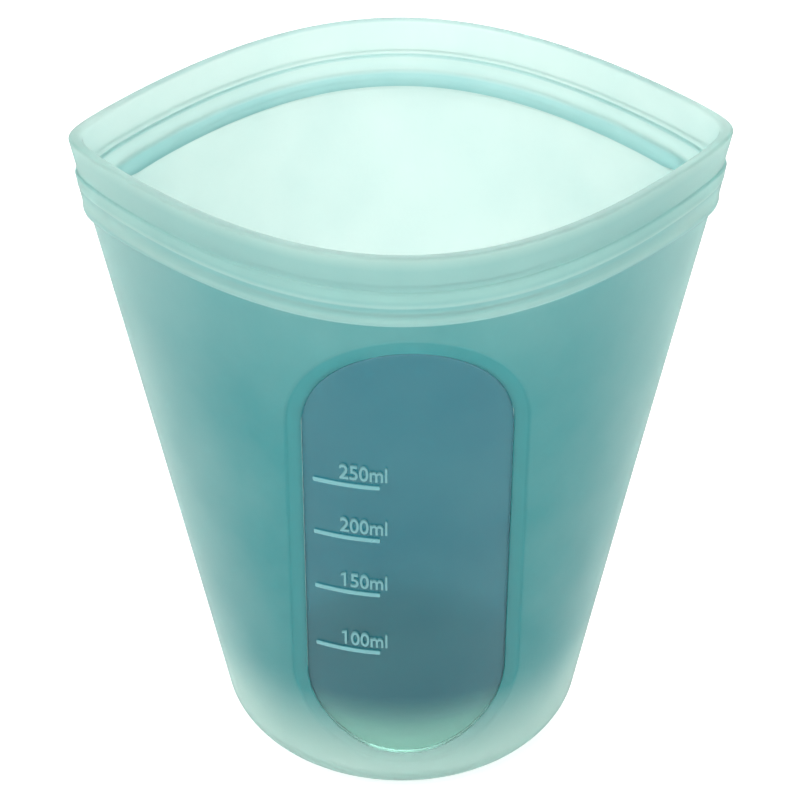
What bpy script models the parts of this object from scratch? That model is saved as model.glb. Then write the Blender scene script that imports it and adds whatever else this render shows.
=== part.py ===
"""Reusable stand-up silicone bag with a press-to-close mouth, modelled at its real size in metres.

The origin is the centre of the underside, +Z is up, -Y is the front with the window, and +X is to the
right of someone facing the front. The bag stands open. Its level sections change from a circle at the
base to a pointed oval at the mouth, and every piece is cut from that one family of sections.
"""

import math

import bmesh
import bpy
from mathutils import Vector

# Overall sizes
MOUTH_WIDTH = 0.110
MOUTH_DEPTH = 0.085
HEIGHT = 0.117
BASE_DIAMETER = 0.063
MOUTH_POINT = 2.1  # how far the mouth's ends are drawn to a point: 1 would leave it an ellipse
CORNER_ROUND = 0.038  # how blunt those ends are, as a share

# Walls and base
WALL = 0.0018
FLOOR = 0.0025
BOTTOM_ROUND = 0.0055
BASE_HEIGHT = 0.0070
FOLD_ANGLE = 25.0  # degrees of the section that each side fold takes, on both sides of its crease

# Zip: a plain lip on top of a thicker rail, with a groove at the front and a rib at the rear
LIP_HEIGHT = 0.0062
LIP_WALL = 0.0019
RAIL_HEIGHT = 0.0060
RAIL_DEPTH = 0.0026
BAND_STEP = 0.0009
BAND_SLOPE = 0.0004
GROOVE_HEIGHT = 0.0021
GROOVE_DEPTH = 0.0018
GROOVE_DRAFT = 0.0002
RIB_PLAY = 0.0002
RIB_SHORT = 0.0003
MIDDLE_HALF = 0.0130  # where the middle links end, measured across the bag
SIDE_END = 0.0360  # where the side links end and the corners begin
TIP_LENGTH = 0.0012  # the last facet of a corner, which takes its blunt end

# Window and volume marks
WINDOW_HALF = 0.0172
WINDOW_ABOVE_BASE = 0.0029
WINDOW_BELOW_RAIL = 0.0059
MARK_VOLUMES = (100, 150, 200, 250)  # millilitres
MARK_LEFT = 0.0015  # from the window's left edge
MARK_LENGTH = 0.0106
MARK_HEIGHT = 0.0008
MARK_RAISE = 0.0005

GAP = 0.0003  # between pieces that touch

RAIL_TOP = HEIGHT - LIP_HEIGHT
RAIL_BOTTOM = RAIL_TOP - RAIL_HEIGHT
WALL_BOTTOM = BASE_HEIGHT + GAP
WALL_TOP = RAIL_BOTTOM - GAP
MITRE_AT_MOUTH = 1.2  # how much longer a wall measures across its crease at the mouth


def clear_scene():
    for obj in list(bpy.data.objects):
        bpy.data.objects.remove(obj, do_unlink=True)


def make_material(name, colour, roughness, alpha):
    material = bpy.data.materials.new(name)
    material.use_nodes = True
    shader = material.node_tree.nodes["Principled BSDF"]
    shader.inputs["Base Color"].default_value = (*colour, 1.0)
    shader.inputs["Roughness"].default_value = roughness
    shader.inputs["Metallic"].default_value = 0.0
    shader.inputs["Alpha"].default_value = alpha
    return material


# ---- The bag's outer section at a height ----


def section(z):
    """Half-width, half-depth and power of the outer section: a circle at the base, with power 1."""
    t = z / HEIGHT
    half_width = BASE_DIAMETER / 2 + (MOUTH_WIDTH - BASE_DIAMETER) / 2 * t
    half_depth = BASE_DIAMETER / 2 + (MOUTH_DEPTH - BASE_DIAMETER) / 2 * t
    return half_width, half_depth, 1 + (MOUTH_POINT - 1) * t


def outline(share, power):
    """The section's half-depth, as a share of its greatest, at this share of its half-width."""
    reach = 1 - (1 - CORNER_ROUND) * min(abs(share), 1.0) ** 2
    blunt = CORNER_ROUND**power
    return math.sqrt(max(reach**power - blunt, 0.0) / (1 - blunt))


def bottom_inset(z, radius):
    """How far the rounded bottom edge draws the section in, at z above where the rounding starts."""
    if z >= radius:
        return 0.0
    return radius - math.sqrt(max(radius**2 - (radius - z) ** 2, 0.0))


def ring_point(angle, z, depth=0.0, inset=0.0):
    """The point at this angle round the section, depth inside the outer skin."""
    half_width, half_depth, power = section(z)
    across = half_width - inset - depth * (1 + (MITRE_AT_MOUTH - 1) * z / HEIGHT)
    back = half_depth - inset - depth
    share = math.cos(angle)
    return Vector((across * share, math.copysign(back * outline(share, power), math.sin(angle)), z))


def inside_area(z):
    """Area inside the wall at z."""
    half_width, half_depth, power = section(z)
    strips = 40
    shape = sum(outline((i + 0.5) / strips, power) for i in range(strips)) / strips
    return 4 * (half_width - WALL) * (half_depth - WALL) * shape


def level_for(volume):
    """Height to which this volume, in millilitres, fills the bag."""
    step = 0.0001
    z = FLOOR
    held = 0.0
    while held < volume * 1e-6:
        held += inside_area(z + step / 2) * step
        z += step
    return z


# ---- Closed solids from an outer and an inner skin ----


def finish(name, bm, material, origin=Vector(), parent=None):
    bmesh.ops.recalc_face_normals(bm, faces=bm.faces)
    bmesh.ops.translate(bm, verts=bm.verts, vec=-origin)
    mesh = bpy.data.meshes.new(name)
    bm.to_mesh(mesh)
    bm.free()
    mesh.shade_smooth()
    mesh.set_sharp_from_angle(angle=math.radians(35))
    mesh.materials.append(material)
    obj = bpy.data.objects.new(name, mesh)
    bpy.context.scene.collection.objects.link(obj)
    obj.parent = parent
    obj.location = origin - (parent.location if parent else Vector())
    return obj


def panel(columns):
    """A closed mesh from columns of (outer point, inner point) pairs, each column running upwards."""
    bm = bmesh.new()
    grid = [[(bm.verts.new(outer), bm.verts.new(inner)) for outer, inner in column] for column in columns]
    for left, right in zip(grid, grid[1:]):
        for (a, b), (c, d) in zip(zip(left, left[1:]), zip(right, right[1:])):
            bm.faces.new((a[0], c[0], d[0], b[0]))
            bm.faces.new((a[1], b[1], d[1], c[1]))
        bm.faces.new((left[0][0], left[0][1], right[0][1], right[0][0]))
        bm.faces.new((left[-1][0], right[-1][0], right[-1][1], left[-1][1]))
    for column in (grid[0], grid[-1]):
        for low, high in zip(column, column[1:]):
            bm.faces.new((low[0], high[0], high[1], low[1]))
    return bm


def spread(low, high, count):
    return [low + (high - low) * i / count for i in range(count + 1)]


def wall_panel(angles, heights, outer_depth, inner_depth):
    """A stretch of the wall between two depths under the outer skin."""
    return panel(
        [[(ring_point(a, z, outer_depth), ring_point(a, z, inner_depth)) for z in heights] for a in angles]
    )


# ---- Base: the round floor and its rounded edge, up to where the walls begin ----


def build_base(material):
    segments = 64
    angles = [2 * math.pi * i / segments for i in range(segments)]
    inner_round = BOTTOM_ROUND - WALL
    outer_levels = [BOTTOM_ROUND * (1 - math.cos(math.radians(a))) for a in (0, 20, 38, 54, 68, 80, 90)]
    inner_levels = [FLOOR + inner_round * (1 - math.cos(math.radians(a))) for a in (80, 60, 40, 20, 0)]
    bm = bmesh.new()
    rings = []
    for z in outer_levels + [BASE_HEIGHT]:
        inset = bottom_inset(z, BOTTOM_ROUND)
        rings.append([bm.verts.new(ring_point(a, z, 0.0, inset)) for a in angles])
    for z in [BASE_HEIGHT] + inner_levels:
        inset = bottom_inset(z - FLOOR, inner_round)
        rings.append([bm.verts.new(ring_point(a, z, WALL, inset)) for a in angles])
    for low, high in zip(rings, rings[1:]):
        for i in range(segments):
            j = (i + 1) % segments
            bm.faces.new((low[i], low[j], high[j], high[i]))
    bm.faces.new(rings[0][::-1])
    bm.faces.new(rings[-1])
    return finish("base", bm, material)


# ---- Walls, side folds and window ----


def obround_cutter(name, half_width, low, high):
    """A prism along Y with straight sides and round ends, for cutting the window."""
    arc = 20
    outline = []
    for i in range(arc + 1):
        turn = math.pi * i / arc
        outline.append((half_width * math.cos(turn), high - half_width + half_width * math.sin(turn)))
    for i in range(arc + 1):
        turn = math.pi * (1 + i / arc)
        outline.append((half_width * math.cos(turn), low + half_width + half_width * math.sin(turn)))
    bm = bmesh.new()
    face = bm.faces.new([bm.verts.new((x, -MOUTH_DEPTH, z)) for x, z in outline])
    pushed = bmesh.ops.extrude_face_region(bm, geom=[face])["geom"]
    moved = [v for v in pushed if isinstance(v, bmesh.types.BMVert)]
    bmesh.ops.translate(bm, verts=moved, vec=(0, MOUTH_DEPTH - BASE_DIAMETER / 4, 0))
    cutter = finish(name, bm, bpy.data.materials["silicone"])
    cutter.hide_render = True
    cutter.display_type = "WIRE"
    return cutter


def cut(obj, cutter, operation):
    modifier = obj.modifiers.new(operation.title(), "BOOLEAN")
    modifier.operation = operation
    modifier.solver = "EXACT"
    modifier.object = cutter


def build_walls(silicone, clear_silicone):
    fold = math.radians(FOLD_ANGLE)
    edge = math.asin(GAP / 2 / (BASE_DIAMETER / 2))  # half the gap, as an angle where it is narrowest
    heights = spread(WALL_BOTTOM, WALL_TOP, 10)
    front = spread(-math.pi + fold + edge, -fold - edge, 22)
    rear = spread(fold + edge, math.pi - fold - edge, 22)
    front_wall = finish("front_wall", wall_panel(front, heights, 0.0, WALL), silicone)
    finish("rear_wall", wall_panel(rear, heights, 0.0, WALL), silicone)
    crease = [(fold - edge) * share * abs(share) for share in spread(-1.0, 1.0, 8)]
    finish("right_fold", wall_panel(crease, heights, 0.0, WALL), silicone)
    finish("left_fold", wall_panel([a + math.pi for a in crease], heights, 0.0, WALL), silicone)

    low = BASE_HEIGHT + WINDOW_ABOVE_BASE
    high = RAIL_BOTTOM - WINDOW_BELOW_RAIL
    opening = obround_cutter("window_opening", WINDOW_HALF + GAP, low - GAP, high + GAP)
    cut(front_wall, opening, "DIFFERENCE")
    window = finish("front_window", wall_panel(front, heights, 0.0, WALL), clear_silicone)
    cut(window, obround_cutter("window_outline", WINDOW_HALF, low, high), "INTERSECT")


def build_marks(material):
    left = -WINDOW_HALF + MARK_LEFT
    for volume in MARK_VOLUMES:
        z = level_for(volume)
        half_width = section(z)[0]
        angles = [-math.acos(x / half_width) for x in spread(left, left + MARK_LENGTH, 5)]
        heights = (z - MARK_HEIGHT / 2, z + MARK_HEIGHT / 2)
        bm = wall_panel(angles, heights, -GAP - MARK_RAISE, -GAP)
        finish(f"volume_mark_{volume}", bm, material)


# ---- Zip: links whose end faces stand square to the skin, so that they can fold straight ----


def skin_depth(x, z):
    """How far the outer skin stands in front of the middle plane, x across the bag."""
    half_width, half_depth, power = section(z)
    return half_depth * outline(x / half_width, power)


def skin_normal(x, z):
    """Unit vector square to the front skin, pointing into the bag, for x to the right of the centre."""
    nudge = 1e-5
    slope = (skin_depth(x - nudge, z) - skin_depth(x + nudge, z)) / (2 * nudge)
    return Vector((-slope, 1.0)).normalized()


class Station:
    """An upright plane square to the front skin, in which a zip profile is drawn."""

    def __init__(self, x, shift=0.0):
        self.inward = skin_normal(x, RAIL_BOTTOM)
        along = Vector((self.inward.y, -self.inward.x))
        self.foot = Vector((x, -skin_depth(x, RAIL_BOTTOM))) + along * shift

    def skin(self, z):
        """Distance from the foot to the outer skin at z, along the inward direction."""
        low, high = -MOUTH_DEPTH / 4, MOUTH_DEPTH / 4
        for _ in range(50):
            middle = (low + high) / 2
            point = self.foot + self.inward * middle
            if -point.y > skin_depth(point.x, z):
                low = middle
            else:
                high = middle
        return (low + high) / 2

    def at(self, distance, z):
        point = self.foot + self.inward * distance
        return Vector((point.x, point.y, z))

    def to_plane(self, plane):
        """Distance from the foot to an upright plane given as (point, unit normal)."""
        point, normal = plane
        return (point - self.foot).dot(normal) / self.inward.dot(normal)


class TipStation(Station):
    """The upright plane through the crease, where front and rear meet."""

    def __init__(self):
        self.inward = Vector((-1.0, 0.0))
        self.foot = Vector((section(RAIL_BOTTOM)[0], 0.0))

    def skin(self, z):
        return self.foot.x - section(z)[0]


def pivot_of(station):
    """The hinge between two links: on the outermost line of their shared end, so that they open inwards."""
    outermost = min(station.skin(HEIGHT), station.skin(RAIL_TOP) - BAND_STEP)
    return station.foot + station.inward * outermost


def chord_angle():
    """How far a side link turns to lie straight across the bag."""
    rise = skin_depth(MIDDLE_HALF, RAIL_BOTTOM) - skin_depth(SIDE_END, RAIL_BOTTOM)
    return math.atan2(rise, SIDE_END - MIDDLE_HALF)


def mating_planes():
    """The flat inner faces of the middle and the side links. Both lie as deep under their shared hinge."""
    pivot = pivot_of(Station(MIDDLE_HALF))
    depth = (pivot - Station(MIDDLE_HALF).foot).length + RAIL_DEPTH
    turn = chord_angle()
    middle_normal = Vector((0.0, 1.0))
    side_normal = Vector((-math.sin(turn), math.cos(turn)))
    return (pivot + middle_normal * depth, middle_normal), (pivot + side_normal * depth, side_normal)


def rail_levels():
    """(height, on the band, in the groove) up the rail."""
    middle = (RAIL_BOTTOM + RAIL_TOP) / 2
    low = middle - GROOVE_HEIGHT / 2
    high = middle + GROOVE_HEIGHT / 2
    return (
        (RAIL_BOTTOM, False, False),
        (RAIL_BOTTOM + BAND_SLOPE, True, False),
        (low - GROOVE_DRAFT, True, False),
        (low, True, True),
        (high, True, True),
        (high + GROOVE_DRAFT, True, False),
        (RAIL_TOP - BAND_SLOPE, True, False),
        (RAIL_TOP, False, False),
    )


def rail_column(station, plane, bite):
    """A rail's profile. Bite is how far the groove, or with a minus sign the rib, changes the inner face."""
    column = []
    for z, on_band, in_groove in rail_levels():
        if bite < 0 and in_groove:
            middle = (RAIL_BOTTOM + RAIL_TOP) / 2
            z += RIB_PLAY if z < middle else -RIB_PLAY
        skin = station.skin(z)
        inner = station.to_plane(plane) if plane else skin + RAIL_DEPTH
        outer = skin - (BAND_STEP if on_band else 0.0)
        column.append((station.at(outer, z), station.at(inner - (bite if in_groove else 0.0), z)))
    return column


def lip_column(station):
    heights = spread(RAIL_TOP + GAP, HEIGHT, 2)
    return [(station.at(station.skin(z), z), station.at(station.skin(z) + LIP_WALL, z)) for z in heights]


def placed(columns, across, towards):
    """Columns drawn for the front right quarter, turned over for the other quarters."""
    flip = Vector((across, towards, 1.0))
    return [[(outer * flip, inner * flip) for outer, inner in column] for column in columns]


def stations_between(start, end, count, trim_start=True, trim_end=True):
    places = spread(start, end, count)
    stations = [Station(x) for x in places]
    if trim_start:
        stations[0] = Station(start, GAP / 2)
    if trim_end:
        stations[-1] = Station(end, -GAP / 2)
    return stations


def add_empty(name, origin, parent=None):
    empty = bpy.data.objects.new(name, None)
    empty.empty_display_size = 0.01
    bpy.context.scene.collection.objects.link(empty)
    empty.parent = parent
    empty.location = origin - (parent.location if parent else Vector())
    return empty


def build_middle_link(side, towards, fixing, bite, material):
    right = stations_between(0.0, MIDDLE_HALF, 4, trim_start=False)
    plane = mating_planes()[0]
    pivot_y = pivot_of(Station(MIDDLE_HALF)).y * towards
    empty = add_empty(f"{side}_zip_middle", Vector((0.0, pivot_y, RAIL_BOTTOM)))
    for name, columns in (
        (f"{side}_{fixing}_middle", [rail_column(s, plane, bite) for s in right]),
        (f"{side}_lip_middle", [lip_column(s) for s in right]),
    ):
        left = placed(columns[:0:-1], -1, towards)
        bm = panel(left + placed(columns, 1, towards))
        finish(name, bm, material, empty.location.copy(), empty)
    return empty


def build_side_links(side, towards, fixing, bite, material, middle):
    stations = stations_between(MIDDLE_HALF, SIDE_END, 5)
    plane = mating_planes()[1]
    pivot = pivot_of(Station(MIDDLE_HALF))
    for hand, across in (("left", -1), ("right", 1)):
        origin = Vector((pivot.x * across, pivot.y * towards, RAIL_BOTTOM))
        empty = add_empty(f"{side}_zip_{hand}", origin, middle)
        for name, columns in (
            (f"{side}_{fixing}_{hand}", [rail_column(s, plane, bite) for s in stations]),
            (f"{side}_lip_{hand}", [lip_column(s) for s in stations]),
        ):
            bm = panel(placed(columns, across, towards))
            obj = finish(name, bm, material, origin)
            obj.parent = empty
            obj.location = Vector()


def tip_column(draw, station):
    """A profile on the crease, where a wall measures longer because it is cut on the slant."""
    column = draw(station, None, 0.0) if draw is rail_column else draw(station)
    return [(outer, outer + (inner - outer) * MITRE_AT_MOUTH) for outer, inner in column]


def build_corners(material):
    near_tip = section(RAIL_BOTTOM)[0] - TIP_LENGTH
    stations = stations_between(SIDE_END, near_tip, 6, trim_end=False) + [TipStation()]
    for hand, across in (("left", -1), ("right", 1)):
        rail = [rail_column(s, None, 0.0) for s in stations[:-1]] + [tip_column(rail_column, stations[-1])]
        lip = [lip_column(s) for s in stations[:-1]] + [tip_column(lip_column, stations[-1])]
        for name, columns in ((f"{hand}_corner_rail", rail), (f"{hand}_corner_lip", lip)):
            front = placed(columns, across, 1)
            back = placed(columns[-2::-1], across, -1)
            finish(name, panel(front + back), material)


def main():
    clear_scene()
    silicone = make_material("silicone", (0.28, 0.66, 0.63), 0.45, 0.85)
    clear_silicone = make_material("clear_silicone", (0.20, 0.48, 0.50), 0.30, 0.60)
    build_base(silicone)
    build_walls(silicone, clear_silicone)
    build_marks(silicone)
    build_corners(silicone)
    rib = -(GROOVE_DEPTH - RIB_SHORT)
    for side, towards, fixing, bite in (("front", 1, "groove", GROOVE_DEPTH), ("rear", -1, "rib", rib)):
        middle = build_middle_link(side, towards, fixing, bite, silicone)
        build_side_links(side, towards, fixing, bite, silicone, middle)


main()
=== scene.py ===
import math

import bmesh
import bpy
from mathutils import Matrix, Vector


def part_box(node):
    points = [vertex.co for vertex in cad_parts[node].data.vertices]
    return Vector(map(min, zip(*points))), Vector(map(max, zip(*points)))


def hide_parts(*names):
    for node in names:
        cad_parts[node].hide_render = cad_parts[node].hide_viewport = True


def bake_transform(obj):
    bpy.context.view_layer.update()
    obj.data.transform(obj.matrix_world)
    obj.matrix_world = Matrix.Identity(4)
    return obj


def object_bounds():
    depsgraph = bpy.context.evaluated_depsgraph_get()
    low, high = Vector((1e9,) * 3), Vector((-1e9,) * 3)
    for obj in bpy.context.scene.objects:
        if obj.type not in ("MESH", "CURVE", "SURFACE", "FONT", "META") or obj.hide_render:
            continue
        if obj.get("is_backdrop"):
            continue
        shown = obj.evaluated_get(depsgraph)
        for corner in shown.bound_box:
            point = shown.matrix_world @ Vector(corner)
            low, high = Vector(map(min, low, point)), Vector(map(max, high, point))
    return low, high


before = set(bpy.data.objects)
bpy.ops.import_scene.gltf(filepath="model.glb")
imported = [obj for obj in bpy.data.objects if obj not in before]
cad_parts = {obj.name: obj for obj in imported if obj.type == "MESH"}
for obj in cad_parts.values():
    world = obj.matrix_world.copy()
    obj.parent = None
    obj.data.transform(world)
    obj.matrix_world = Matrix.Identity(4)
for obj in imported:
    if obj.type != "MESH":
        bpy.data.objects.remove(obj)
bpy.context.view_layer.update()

# Studio: a white table that fills the view and glows a little, a white room, and three large soft lamps.
# The camera looks down into the open mouth from the front, a little from the left, through a long lens.
TABLE_SIZE = 6.0
TABLE_DROP = 0.0002
TABLE_WHITE = (0.62, 0.62, 0.62, 1)
TABLE_GLOW = 0.60
TABLE_ROUGHNESS = 0.7
ROOM_LIGHT = 0.93
WHITE = (1.0, 1.0, 1.0, 1)


def socket(node, name, value):
    node.inputs[name].default_value = value


bpy.context.scene.view_settings.view_transform = "Standard"
bpy.ops.object.select_all(action="DESELECT")
bpy.ops.mesh.primitive_plane_add(size=TABLE_SIZE, location=(0, 0, -TABLE_DROP))
table = bpy.context.object
table.name = "table"
table_paint = bpy.data.materials.new("table_paint")
table_paint.use_nodes = True
table_shader = table_paint.node_tree.nodes["Principled BSDF"]
socket(table_shader, "Base Color", TABLE_WHITE)
socket(table_shader, "Emission Color", WHITE)
socket(table_shader, "Emission Strength", TABLE_GLOW)
socket(table_shader, "Roughness", TABLE_ROUGHNESS)
table.data.materials.append(table_paint)
table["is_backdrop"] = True

room = bpy.data.worlds.new("room")
bpy.context.scene.world = room
room.use_nodes = True
room_light = room.node_tree.nodes["Background"]
socket(room_light, "Color", WHITE)
socket(room_light, "Strength", ROOM_LIGHT)

LAMP_AIM = (0.0, 0.0, 0.06)


def soft_lamp(name, place, size, watts):
    bpy.ops.object.light_add(type="AREA", location=place)
    lamp = bpy.context.object
    lamp.name = name
    lamp.data.size = size
    lamp.data.energy = watts
    lamp.rotation_euler = (Vector(LAMP_AIM) - Vector(place)).to_track_quat("-Z", "Y").to_euler()


soft_lamp("key_lamp", place=(-0.45, -0.35, 0.75), size=0.5, watts=4.4)
soft_lamp("fill_lamp", place=(0.70, -0.50, 0.45), size=0.6, watts=1.6)
soft_lamp("back_lamp", place=(0.15, 0.80, 0.60), size=0.7, watts=2.8)

LENS = 114.8
SENSOR = 36.0
NEAREST = 0.01
CAMERA_DISTANCE = 0.450
CAMERA_ELEVATION = math.radians(33.3)
CAMERA_TURN = math.radians(1.6)
AIM = Vector((-0.0003, 0.0, 0.0638))
bpy.ops.object.camera_add()
camera = bpy.context.object
camera.data.lens = LENS
camera.data.sensor_width = SENSOR
camera.data.clip_start = NEAREST
camera.location = AIM + CAMERA_DISTANCE * Vector(
    (
        -math.cos(CAMERA_ELEVATION) * math.sin(CAMERA_TURN),
        -math.cos(CAMERA_ELEVATION) * math.cos(CAMERA_TURN),
        math.sin(CAMERA_ELEVATION),
    )
)
camera.rotation_euler = (AIM - camera.location).to_track_quat("-Z", "Y").to_euler()
bpy.context.scene.camera = camera

# Bag: one moulding of frosted silicone, from the round base to the lip of the pointed mouth. Its wall is
# turned as if on a lathe, then each level is drawn out to its own section, as the mould's cavity is cut.
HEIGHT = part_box("front_lip_middle")[1].z
HALF_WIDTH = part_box("right_corner_lip")[1].x
HALF_DEPTH = -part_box("front_lip_middle")[0].y
BASE_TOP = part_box("base")[1]
BASE_RADIUS = (BASE_TOP.x - HALF_WIDTH * BASE_TOP.z / HEIGHT) / (1 - BASE_TOP.z / HEIGHT)
RAIL_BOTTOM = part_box("front_groove_middle")[0].z
RAIL_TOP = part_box("front_groove_middle")[1].z
MOUTH_POINT = 2.3
CORNER_ROUND = 0.14
MITRE_AT_MOUTH = 1.2
REAR_BOW = 0.0020


def ease(value, start, end):
    share = min(max((value - start) / (end - start), 0.0), 1.0)
    return share * share * (3 - 2 * share)


def section(z, side=-1.0):
    share = z / HEIGHT
    half_width = BASE_RADIUS + (HALF_WIDTH - BASE_RADIUS) * share
    half_depth = BASE_RADIUS + (HALF_DEPTH - BASE_RADIUS) * share
    if side > 0:
        half_depth += REAR_BOW * ease(z, RAIL_BOTTOM / 2, RAIL_BOTTOM)
    return half_width, half_depth, 1 + (MOUTH_POINT - 1) * share


def outline(share, power):
    reach = 1 - (1 - CORNER_ROUND) * min(abs(share), 1.0) ** 2
    blunt = CORNER_ROUND**power
    return math.sqrt(max(reach**power - blunt, 0.0) / (1 - blunt))


# The turned profile goes up the outside, over the lip and down the inside. Outside, the band has a bead, a
# channel, a ridge and a ledge under the lip, each listed as shares of the band's depth with their heights.
# The rail's head and foot, on the inside, are listed as depths from the outside with their heights.
WALL = 0.0018
FLOOR = 0.0025
BOTTOM_ROUND = 0.0055
FLOOR_ROUND = BOTTOM_ROUND - WALL
FLOOR_RINGS = (0.0, 0.006, 0.012, 0.018, 0.022)
LIP = 0.0019
LIP_ROUND = 0.0006
ROUND_STEPS = 320
BOTTOM_STEPS = 12
FLOOR_STEPS = 8
LIP_STEPS = 6
WALL_STEP = 0.0016
SKIN = BASE_RADIUS
BAND = 0.0008
BAND_FOOT = RAIL_BOTTOM - 0.0002
CHANNEL = RAIL_TOP - 0.0033
CHANNEL_HALF = 0.0006
BEAD = ((0.30, 0.0), (0.70, 0.0001), (0.92, 0.0004), (1.0, 0.0009), (1.0, 0.0013), (0.90, 0.0018))
RIDGE = ((0.50, 0.0), (0.52, 0.0006), (0.62, 0.0010), (0.85, 0.0014), (0.88, 0.0016), (0.68, 0.0020))
LEDGE = ((0.60, -0.0011), (0.56, -0.0004), (0.45, -0.00012), (0.30, 0.0), (0.0625, 0.00012), (0.0, 0.0004))
LIP_FOOT = RAIL_TOP + LEDGE[-1][1]
RAIL = 0.0026
RAIL_HEAD = (
    (LIP, 0.0006),
    (LIP, 0.0002),
    (LIP + 0.00006, 0.00004),
    (RAIL - 0.00008, 0.0),
    (RAIL, -0.0001),
    (RAIL, -0.0004),
)
RAIL_FOOT = ((RAIL, 0.0002), (RAIL - 0.0002, -0.0001), (WALL + 0.0002, -0.0005), (WALL, -0.0008))
ZIP_DEPTH = 0.0017
ZIP_LOW = RAIL_BOTTOM + 0.0006
ZIP_HIGH = RAIL_TOP - 0.0024
ZIP_ROWS = (0.0, 0.0008, 0.0013, 0.0019)
ZIP_FOOT = 0.0004
START_SIZE = 0.001
SAME_PLACE = 0.000002


def arc(centre, radius, start, end, count):
    turns = [math.radians(start + (end - start) * i / count) for i in range(count + 1)]
    return [(centre[0] + radius * math.cos(a), centre[1] + radius * math.sin(a)) for a in turns]


def levels(radius, low, high):
    count = max(2, round((high - low) / WALL_STEP))
    return [(radius, low + (high - low) * i / count) for i in range(1, count)]


def draw(name, points):
    bpy.ops.object.select_all(action="DESELECT")
    bpy.ops.mesh.primitive_plane_add(size=START_SIZE)
    bpy.context.object.name = name
    bpy.ops.object.mode_set(mode="EDIT")
    bpy.ops.mesh.select_mode(type="VERT")
    bpy.ops.mesh.merge(type="CENTER")
    bpy.ops.transform.translate(value=points[0])
    for start, end in zip(points, points[1:]):
        bpy.ops.mesh.extrude_region_move(TRANSFORM_OT_translate={"value": end - start})
    bpy.ops.mesh.select_all(action="SELECT")
    return bpy.context.object


def close_up():
    bpy.ops.mesh.select_all(action="SELECT")
    bpy.ops.mesh.remove_doubles(threshold=SAME_PLACE)
    bpy.ops.mesh.normals_make_consistent(inside=False)
    bpy.ops.mesh.select_all(action="DESELECT")
    bpy.ops.object.mode_set(mode="OBJECT")


profile = [(radius, 0.0) for radius in FLOOR_RINGS]
profile += arc((SKIN - BOTTOM_ROUND, BOTTOM_ROUND), BOTTOM_ROUND, -90, 0, BOTTOM_STEPS)
profile += levels(SKIN, BOTTOM_ROUND, BAND_FOOT)
profile += [(SKIN, BAND_FOOT)]
profile += [(SKIN + BAND * out, BAND_FOOT + up) for out, up in BEAD]
profile += [(SKIN + BAND * out, CHANNEL - CHANNEL_HALF + up) for out, up in RIDGE]
profile += [(SKIN + BAND * out, RAIL_TOP + up) for out, up in LEDGE]
profile += levels(SKIN, LIP_FOOT, HEIGHT - LIP_ROUND)
profile += arc((SKIN - LIP_ROUND, HEIGHT - LIP_ROUND), LIP_ROUND, 0, 90, LIP_STEPS)
profile += arc((SKIN - LIP + LIP_ROUND, HEIGHT - LIP_ROUND), LIP_ROUND, 90, 180, LIP_STEPS)
profile += levels(SKIN - LIP, RAIL_TOP + RAIL_HEAD[0][1], HEIGHT - LIP_ROUND)[::-1]
profile += [(SKIN - depth, RAIL_TOP + up) for depth, up in RAIL_HEAD]
profile += [(SKIN - RAIL, (RAIL_TOP + ZIP_HIGH) / 2)]
profile += [(SKIN - RAIL, ZIP_HIGH - down) for down in ZIP_ROWS]
profile += [(SKIN - RAIL, ZIP_LOW + ZIP_FOOT), (SKIN - RAIL, ZIP_LOW)]
profile += [(SKIN - depth, RAIL_BOTTOM + up) for depth, up in RAIL_FOOT]
profile += levels(SKIN - WALL, FLOOR + FLOOR_ROUND, RAIL_BOTTOM + RAIL_FOOT[-1][1])[::-1]
profile += arc((SKIN - BOTTOM_ROUND, FLOOR + FLOOR_ROUND), FLOOR_ROUND, 0, -90, FLOOR_STEPS)
profile += [(radius, FLOOR) for radius in reversed(FLOOR_RINGS)]

bag = draw("silicone_bag", [Vector((r, 0, z)) for r, z in profile])
bpy.ops.mesh.spin(steps=ROUND_STEPS, angle=math.tau, center=(0, 0, 0), axis=(0, 0, 1))
close_up()

# Both skins of the front are cut open where the window and its border go.
WINDOW_LOW, WINDOW_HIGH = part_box("front_window")
WINDOW_HALF = WINDOW_HIGH.x
ARCH = WINDOW_HIGH.z - WINDOW_HALF
SILL = WINDOW_LOW.z + WINDOW_HALF
CUT_OUT = math.radians(45.5)
CUT_HIGH = BAND_FOOT - 0.0005


def open_front(radius, low):
    for face in bag.data.polygons:
        x, y, z = face.center
        on_skin = abs(math.hypot(x, y) - radius) < WALL / 4
        in_front = abs(math.atan2(y, x) + math.pi / 2) < CUT_OUT
        face.select = on_skin and in_front and low < z < CUT_HIGH
    bpy.ops.object.mode_set(mode="EDIT")
    bpy.ops.mesh.delete(type="FACE")
    bpy.ops.object.mode_set(mode="OBJECT")


open_front(SKIN, BOTTOM_ROUND)
open_front(SKIN - WALL, FLOOR + FLOOR_ROUND)

# Each turned point is drawn out to the section at its height. The band's lower edge dips towards the tips,
# the rear rail's face swells to a rib and the front's sinks to a groove, and the band's relief fades at the
# tips, where it would fold over itself.
BAND_DIP = 0.0018
DIP_REACH = 0.012
DIP_CURVE = 4
SKIN_DEPTH = 0.0003
ZIP_HEAD = 0.0020
ZIP_FADE = (0.93, 0.985)
RELIEF_FADE = (0.93, 0.99)
RELIEF_LOST = 0.75
RELIEF_MARGIN = 0.0003
RELIEF_PROUD = 0.0001
ON_RAIL = 0.00001
TIP_BAND = 0.85
TIP_BAND_FALL = 0.3


def zip_share(along, z):
    height = ease(z, ZIP_LOW, ZIP_LOW + ZIP_FOOT) * (1 - ease(z, ZIP_HIGH - ZIP_HEAD, ZIP_HIGH))
    return height * (1 - ease(abs(along), *ZIP_FADE))


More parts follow.
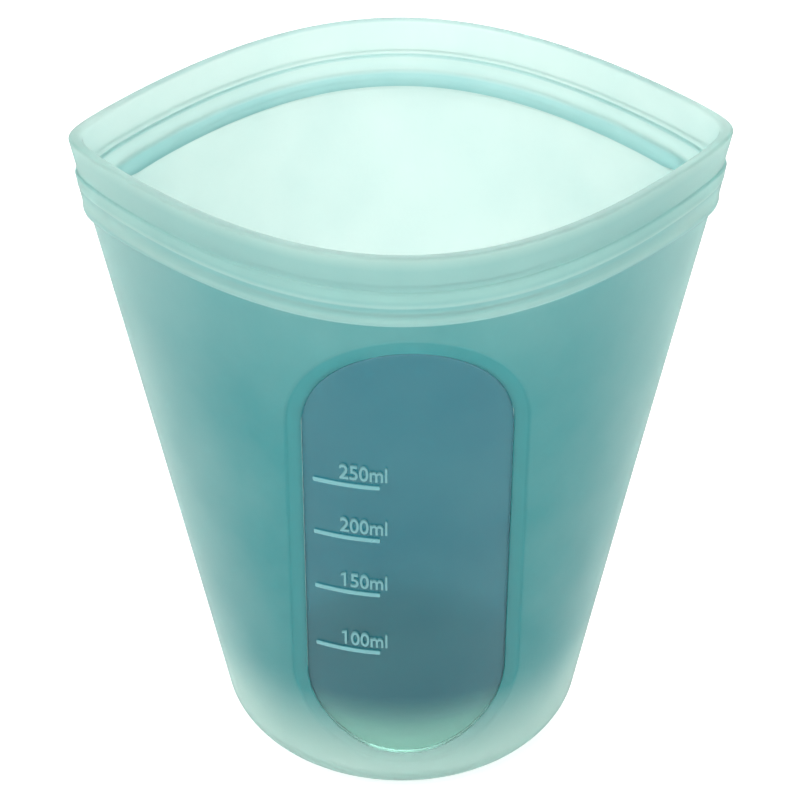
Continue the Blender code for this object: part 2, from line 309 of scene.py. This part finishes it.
def drawn_out(radius, turn, z):
    along = math.cos(turn)
    outside = ease(radius, SKIN - WALL, SKIN - SKIN_DEPTH)
    bead_top = BAND_FOOT + BEAD[-1][1]
    dip = ease(z, BAND_FOOT - DIP_REACH, BAND_FOOT) * (1 - ease(z, bead_top, CHANNEL + CHANNEL_HALF))
    z -= BAND_DIP * dip * outside * abs(along) ** DIP_CURVE
    if abs(radius - (SKIN - RAIL)) < ON_RAIL:
        radius -= ZIP_DEPTH * math.copysign(zip_share(along, z), turn)
    in_band = BAND_FOOT + RELIEF_MARGIN < z < RAIL_TOP - RELIEF_MARGIN
    if in_band and radius > SKIN + RELIEF_PROUD:
        plain = SKIN + BAND * (TIP_BAND - TIP_BAND_FALL * (z - BAND_FOOT) / (RAIL_TOP - BAND_FOOT))
        radius += (plain - radius) * RELIEF_LOST * ease(abs(along), *RELIEF_FADE)
    half_width, half_depth, power = section(z, math.sin(turn))
    spread = min(radius / (BASE_RADIUS - BOTTOM_ROUND), 1.0)
    mitre = (MITRE_AT_MOUTH - 1) * z / HEIGHT * (BASE_RADIUS - radius)
    across = radius + (half_width - BASE_RADIUS - mitre) * spread
    back = radius + (half_depth - BASE_RADIUS) * spread
    return Vector((across * along, math.copysign(back * outline(along, power), math.sin(turn)), z))


for vertex in bag.data.vertices:
    x, y, z = vertex.co
    vertex.co = drawn_out(math.hypot(x, y), math.atan2(y, x), z)

# The window's surround is swept round the opening, with a shallow sunk border outside, and each skin is
# bridged from its cut edge to it.
BORDER = 0.0026
BORDER_DEPTH = 0.00025
SEAM = 0.00003
BRIDGE_CUTS = 7
ON_SKIN = 0.00002
SMOOTH_ANGLE = math.radians(40)


def on_front(x, depth, z):
    half_width, half_depth, power = section(z)
    across = half_width - depth * (1 + (MITRE_AT_MOUTH - 1) * z / HEIGHT)
    return Vector((x, -(half_depth - depth) * outline(x / across, power), z))


def select_open_edges(piece, depth):
    mesh = bmesh.new()
    mesh.from_mesh(piece.data)
    for item in (*mesh.faces, *mesh.edges, *mesh.verts):
        item.select = False
    found = 0
    for edge in mesh.edges:
        near = all((v.co - on_front(v.co.x, depth, v.co.z)).length < ON_SKIN for v in edge.verts)
        if edge.is_boundary and near:
            edge.select_set(True)
            found += 1
    mesh.to_mesh(piece.data)
    mesh.free()
    return found


round_hole = select_open_edges(bag, 0.0)
ARC_STEPS = round(round_hole / 4)
SIDE_STEPS = round_hole // 2 - ARC_STEPS


def swept(name, line):
    piece = draw(name, [Vector((out, depth, ARCH)) for out, depth in line])
    for centre, fall in ((ARCH, ARCH - SILL), (SILL, SILL - ARCH)):
        bpy.ops.mesh.spin(steps=ARC_STEPS, angle=math.pi, center=(0, 0, centre), axis=(0, 1, 0))
        for _ in range(SIDE_STEPS):
            bpy.ops.mesh.extrude_region_move(TRANSFORM_OT_translate={"value": (0, 0, -fall / SIDE_STEPS)})
    close_up()
    for vertex in piece.data.vertices:
        vertex.co = on_front(*vertex.co)
    return piece


def pick(piece):
    bpy.ops.object.select_all(action="DESELECT")
    piece.select_set(True)
    bpy.context.view_layer.objects.active = piece


def smooth(piece):
    pick(piece)
    bpy.ops.object.shade_smooth_by_angle(angle=SMOOTH_ANGLE)


inner_edge = WINDOW_HALF + SEAM
outer_edge = inner_edge + BORDER
swept(
    "surround",
    [
        (outer_edge + 0.0004, 0.0),
        (outer_edge, 0.00003),
        (outer_edge - 0.00025, BORDER_DEPTH - 0.00004),
        (outer_edge - 0.0005, BORDER_DEPTH),
        (inner_edge + BORDER * 0.4, BORDER_DEPTH),
        (inner_edge + 0.0001, BORDER_DEPTH),
        (inner_edge, BORDER_DEPTH + 0.0001),
        (inner_edge, WALL - 0.0001),
        (inner_edge + 0.0001, WALL),
        (inner_edge + BORDER * 0.5, WALL),
        (outer_edge, WALL),
    ],
)
bag.select_set(True)
bpy.context.view_layer.objects.active = bag
bpy.ops.object.join()
for depth in (0.0, WALL):
    select_open_edges(bag, depth)
    bpy.ops.object.mode_set(mode="EDIT")
    bpy.ops.mesh.select_mode(type="EDGE")
    bpy.ops.mesh.bridge_edge_loops(number_cuts=BRIDGE_CUTS, interpolation="LINEAR")
    bpy.ops.object.mode_set(mode="OBJECT")
    for vertex in bag.data.vertices:
        if vertex.select:
            vertex.co = on_front(vertex.co.x, depth, vertex.co.z)
bpy.ops.object.mode_set(mode="EDIT")
close_up()
smooth(bag)

# The moulding is one colour, but its base colour is mixed from pale to deep by a share from 0 to 1 on each
# point,
# which is mostly painted light: painted shade over the front wall and its window border, painted shade in
# the channel, a painted shadow under the lip's ledge and painted highlights on the bead and the ridge. It
# also holds a darker line along the top of the rear rim and a deeper rib inside the rear rail, where the
# silicone is thick.
PALE = (0.79, 0.90, 0.845, 1)
# The deep colour stands for thick silicone and for painted shade.
DEEP_AND_SHADE = (0.05, 0.375, 0.405, 1)
# Painted shade over the front wall: deepest across the front, lighter towards the sides, the floor and the
# band, a little lighter beyond the window's border and about half as deep on the band and lip.
SIDE_SHADE = 0.2
SIDE_SHADE_FADE = (-0.022, 0.0)
FRONT_SHADE_FADE = (-0.006, 0.031)
FLOOR_SHADE_FADE = (0.004, 0.026)
UNDER_BAND_LESS_SHADE = 0.16
UNDER_BAND_SHADE_FADE = (0.080, RAIL_BOTTOM)
BORDER_TINT = 0.14
BORDER_FADE = (BORDER - 0.0006, BORDER + 0.0003)
BAND_TINT = 0.52
BAND_FADE = (RAIL_BOTTOM - 0.0004, RAIL_BOTTOM + 0.0004)
LIP_FADE = (HEIGHT - 0.0012, HEIGHT - 0.0003)
# Painted highlights: the band's bead and ridge are made paler.
RELIEF_HIGHLIGHT = 0.65
BEAD_END = (BAND_FOOT + 0.0011, BAND_FOOT + 0.0019)
RIDGE_START = (CHANNEL + 0.0004, CHANNEL + 0.0008)
RIDGE_END = (CHANNEL + 0.0010, CHANNEL + 0.0014)
# Painted shade in the band's channel.
CHANNEL_SHADE = 0.22
CHANNEL_START = (CHANNEL - CHANNEL_HALF, CHANNEL)
CHANNEL_END = (CHANNEL + 0.0004, CHANNEL + 0.0009)
RIB_TINT = 0.58
RIB_INSIDE = RAIL + 0.0004
RIB_BOTTOM = ZIP_LOW - 0.0001
RIB_TOP = ZIP_HIGH - 0.0005
RIM_TINT = 0.3
RIM_START = (HEIGHT - 0.0003, HEIGHT)
RIM_FADE = (0.004, 0.020)
# Painted shadow: a dark line under the lip's ledge, on the outside at the front and the inside at the rear.
LEDGE_SHADOW = 0.35
LEDGE_SHADOW_HALF = 0.00016


def store(piece, name, share):
    values = [share(*vertex.co) for vertex in piece.data.vertices]
    piece.data.attributes.new(name, "FLOAT", "POINT").data.foreach_set("value", values)


# Painted shade and painted highlights for each point, with the rear rib's real depth, as a share of the
# deep colour.
def painted_shade_and_depth(x, y, z):
    out = math.hypot(x, max(z - ARCH, SILL - z, 0.0)) - WINDOW_HALF
    border = 1 - ease(out, *BORDER_FADE)
    below_band = 1 - ease(z, *BAND_FADE)
    below_lip = 1 - ease(z, *LIP_FADE)
    # Painted shade over the front wall, faded as set out above.
    wall_shade = SIDE_SHADE * ease(-y, *SIDE_SHADE_FADE) + (1 - SIDE_SHADE) * ease(-y, *FRONT_SHADE_FADE)
    wall_shade *= ease(z, *FLOOR_SHADE_FADE) * (1 - UNDER_BAND_LESS_SHADE * ease(z, *UNDER_BAND_SHADE_FADE))
    wall_shade *= 1 - BORDER_TINT * (1 - border)
    wall_shade *= BAND_TINT * below_lip + (1 - BAND_TINT) * below_band
    # Painted highlights along the bead and the ridge.
    bead_highlight = (1 - below_band) * (1 - ease(z, *BEAD_END))
    ridge_highlight = ease(z, *RIDGE_START) * (1 - ease(z, *RIDGE_END))
    wall_shade *= 1 - RELIEF_HIGHLIGHT * max(bead_highlight, ridge_highlight)
    half_width, half_depth, power = section(z, y)
    depth = half_depth * outline(x / half_width, power) - abs(y)
    inside = depth > RIB_INSIDE
    # Painted shade in the channel's height band, left off the thick rib inside.
    if not inside:
        wall_shade += CHANNEL_SHADE * ease(z, *CHANNEL_START) * (1 - ease(z, *CHANNEL_END))
    rib = RIB_TINT * (inside and y > 0 and RIB_BOTTOM < z < RIB_TOP)
    rim = RIM_TINT * ease(z, *RIM_START) * ease(y, *RIM_FADE)
    # Painted shadow under the lip's ledge.
    ledge_shadow = LEDGE_SHADOW * (abs(z - RAIL_TOP) < LEDGE_SHADOW_HALF and (depth > LIP / 2) == (y > 0))
    return max(wall_shade, rib, rim, ledge_shadow)


SILICONE_IOR = 1.41
CLOUD_SCALE = 70.0
CLOUD_DETAIL = 4.0
GRAIN_SCALE = 1800.0
GRAIN_DETAIL = 2.0
GRAIN_HEIGHT = 0.00004
UNEVEN_GLOSS = 0.06
FIRST_COLOUR, SECOND_COLOUR, MIXED_COLOUR = 6, 7, 2


def silicone(name, pale, deep_and_shade, transmission, roughness, grain, mottle):
    material = bpy.data.materials.new(name)
    material.use_nodes = True
    nodes = material.node_tree.nodes
    link = material.node_tree.links.new
    shader = nodes["Principled BSDF"]
    socket(shader, "IOR", SILICONE_IOR)
    socket(shader, "Transmission Weight", transmission)
    place = nodes.new("ShaderNodeTexCoord")
    cloud = nodes.new("ShaderNodeTexNoise")
    socket(cloud, "Scale", CLOUD_SCALE)
    socket(cloud, "Detail", CLOUD_DETAIL)
    link(place.outputs["Object"], cloud.inputs["Vector"])
    # The stored share mixes the deep colour into the base colour, so it carries the painted shade and
    # highlights.
    share = nodes.new("ShaderNodeAttribute")
    share.attribute_name = "painted_shade_and_depth"
    uneven = nodes.new("ShaderNodeMath")
    uneven.operation = "MULTIPLY_ADD"
    uneven.use_clamp = True
    socket(uneven, 1, mottle)
    link(cloud.outputs["Fac"], uneven.inputs[0])
    link(share.outputs["Fac"], uneven.inputs[2])
    colour = nodes.new("ShaderNodeMix")
    colour.data_type = "RGBA"
    socket(colour, FIRST_COLOUR, pale)
    socket(colour, SECOND_COLOUR, deep_and_shade)
    link(uneven.outputs["Value"], colour.inputs["Factor"])
    link(colour.outputs[MIXED_COLOUR], shader.inputs["Base Color"])
    gloss = nodes.new("ShaderNodeMapRange")
    socket(gloss, "To Min", roughness - UNEVEN_GLOSS)
    socket(gloss, "To Max", roughness + UNEVEN_GLOSS)
    link(cloud.outputs["Fac"], gloss.inputs["Value"])
    link(gloss.outputs["Result"], shader.inputs["Roughness"])
    fine = nodes.new("ShaderNodeTexNoise")
    socket(fine, "Scale", GRAIN_SCALE)
    socket(fine, "Detail", GRAIN_DETAIL)
    link(place.outputs["Object"], fine.inputs["Vector"])
    bump = nodes.new("ShaderNodeBump")
    socket(bump, "Strength", grain)
    socket(bump, "Distance", GRAIN_HEIGHT)
    link(fine.outputs["Fac"], bump.inputs["Height"])
    link(bump.outputs["Normal"], shader.inputs["Normal"])
    return material


BODY_COLOUR = (0.22, 0.78, 0.73, 1)
BODY_DENSITY = 60.0
frosted = silicone(
    "frosted_silicone", PALE, DEEP_AND_SHADE, transmission=0.82, roughness=0.5, grain=0.35, mottle=0.2
)
body = frosted.node_tree.nodes.new("ShaderNodeVolumeAbsorption")
socket(body, "Color", BODY_COLOUR)
socket(body, "Density", BODY_DENSITY)
output = frosted.node_tree.nodes["Material Output"]
frosted.node_tree.links.new(body.outputs["Volume"], output.inputs["Volume"])
bag.data.materials.append(frosted)
store(bag, "painted_shade_and_depth", painted_shade_and_depth)


def press_shut(piece):
    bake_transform(piece)
    for vertex in piece.data.vertices:
        x, y, z = vertex.co
        half_width, half_depth, power = section(z, y)


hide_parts(*[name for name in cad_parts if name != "front_window" and "mark" not in name])
press_shut(bag)

# Window: the clear panel in the front wall. It is the same silicone, thinner and left polished where the
# rest of the mould is blasted, so that what is inside can be seen.
WINDOW_DEPTH = 0.0006
WINDOW_RINGS = 12
CLEAR_PALE = (0.55, 0.86, 0.76, 1)
# The window's deep colour is partly its own teal and partly painted shade: dark over most of the panel,
# paler towards its bottom.
CLEAR_DEEP_AND_SHADE = (0.018, 0.19, 0.27, 1)
CLEAR_SHADE = 0.92
CLEAR_SHADE_FADE = (0.010, 0.024)
pane_edge = WINDOW_HALF - SEAM
rings = [pane_edge * i / WINDOW_RINGS for i in range(WINDOW_RINGS)]
window = swept(
    "clear_window",
    [(out, WINDOW_DEPTH) for out in rings]
    + [
        (pane_edge - 0.0006, WINDOW_DEPTH),
        (pane_edge - 0.0003, WINDOW_DEPTH - 0.00004),
        (pane_edge - 0.00006, BORDER_DEPTH + 0.00012),
        (pane_edge, BORDER_DEPTH + 0.00018),
        (pane_edge, WALL - 0.0001),
        (pane_edge - 0.0001, WALL),
    ]
    + [(out, WALL) for out in reversed(rings)],
)
smooth(window)
clear = silicone(
    "clear_silicone", CLEAR_PALE, CLEAR_DEEP_AND_SHADE, transmission=0.96, roughness=0.14, grain=0.1, mottle=0.08
)
window.data.materials.append(clear)
# Painted shade over the window, paler towards its bottom.
store(window, "painted_shade_and_depth", lambda x, y, z: CLEAR_SHADE * ease(z, *CLEAR_SHADE_FADE))
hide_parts("front_window")
press_shut(window)

# Volume marks: a raised bar on the window at each 50 ml from 100 to 250, with its figure above it. They are
# the window's own silicone, moulded in one with it; here they get a paler material of their own, a painted
# highlight for the light their sides catch, beside the real highlights of their bevels.
MARK_RAISE = 0.00045
MARK_EDGE = 0.00016
MARK_STEPS = 12
MARK_SHIFT = 0.0005
MARK_UP = 0.0006
MARK_THIN = 0.00004
MARK_HIGHLIGHT = 0.8
FIGURE_SIZE = 0.004
FIGURE_HEIGHT = 0.0030
FIGURE_WIDTH = 0.0078
FIGURE_LEFT = -0.0112
FIGURE_UP = 0.0009
STROKE = 0.00006
FLAG = 0.0006
FLAG_CORNERS = ((0.3, -0.05), (-1.0, -0.75), (-1.0, -1.25), (0.3, -0.6))
FLAG_RISE = 0.9
# Painted highlight: the marks' colours are paler than the window's.
HIGHLIT_PALE = (0.45, 0.78, 0.78, 1)
HIGHLIT_DEEP = (0.22, 0.56, 0.59, 1)
raised = silicone(
    "marks_painted_highlight", HIGHLIT_PALE, HIGHLIT_DEEP, transmission=0.55, roughness=0.25, grain=0.1, mottle=0.08
)


def span(piece, axis):
    places = [vertex.co[axis] for vertex in piece.data.vertices]
    return min(places), max(places)


def add_flag(figure):
    stem, _ = span(figure, 0)
    _, head = span(figure, 1)
    back, front = span(figure, 2)
    draw("flag", [Vector((stem + FLAG * out, head + FLAG * up, back)) for out, up in FLAG_CORNERS])
    bpy.ops.mesh.edge_face_add()
    rise = (0, 0, (front - back) * FLAG_RISE)
    bpy.ops.mesh.extrude_region_move(TRANSFORM_OT_translate={"value": rise})
    close_up()
    figure.select_set(True)
    bpy.context.view_layer.objects.active = figure
    bpy.ops.object.join()


def finish_mark(piece):
    for vertex in piece.data.vertices:
        vertex.co = on_front(*vertex.co)
    piece.data.materials.append(raised)
    # The marks' share of their own paler colours, a painted highlight.
    store(piece, "painted_shade_and_depth", lambda x, y, z: MARK_HIGHLIGHT)
    pick(piece)
    bpy.ops.object.mode_set(mode="EDIT")
    close_up()
    smooth(piece)
    press_shut(piece)


for volume in (100, 150, 200, 250):
    low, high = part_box(f"volume_mark_{volume}")
    foot = low.z + MARK_UP + MARK_THIN
    head = high.z + MARK_UP - MARK_THIN
    left = low.x + MARK_SHIFT
    corners = (
        Vector((left, WINDOW_DEPTH, foot)),
        Vector((left, WINDOW_DEPTH - MARK_RAISE, foot)),
        Vector((left, WINDOW_DEPTH - MARK_RAISE, head)),
        Vector((left, WINDOW_DEPTH, head)),
    )
    bar = draw(f"bar_{volume}ml", corners)
    bpy.ops.mesh.edge_face_add()
    step = ((high.x - low.x) / MARK_STEPS, 0, 0)
    for _ in range(MARK_STEPS):
        bpy.ops.mesh.extrude_region_move(TRANSFORM_OT_translate={"value": step})
    close_up()
    bevel = bar.modifiers.new("Bevel", "BEVEL")
    bevel.width = MARK_EDGE
    bevel.segments = 3
    bevel.limit_method = "ANGLE"
    bpy.ops.object.modifier_apply(modifier="Bevel")
    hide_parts(f"volume_mark_{volume}")
    finish_mark(bar)

    bpy.ops.object.select_all(action="DESELECT")
    bpy.ops.object.text_add()
    figure = bpy.context.object
    figure.name = f"figure_{volume}ml"
    figure.data.body = f"{volume}ml"
    figure.data.size = FIGURE_SIZE
    figure.data.extrude = MARK_RAISE / 2
    figure.data.bevel_depth = STROKE
    figure.data.bevel_resolution = 2
    bpy.ops.object.convert(target="MESH")
    if volume < 200:
        add_flag(figure)
    left, right = span(figure, 0)
    bottom, top = span(figure, 1)
    _, front = span(figure, 2)
    for vertex in figure.data.vertices:
        x, y, z = vertex.co
        vertex.co = (
            FIGURE_LEFT + (x - left) * FIGURE_WIDTH / (right - left),
            WINDOW_DEPTH - MARK_RAISE + front - z,
            high.z + MARK_UP + FIGURE_UP + (y - bottom) * FIGURE_HEIGHT / (top - bottom),
        )
    finish_mark(figure)

low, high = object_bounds()
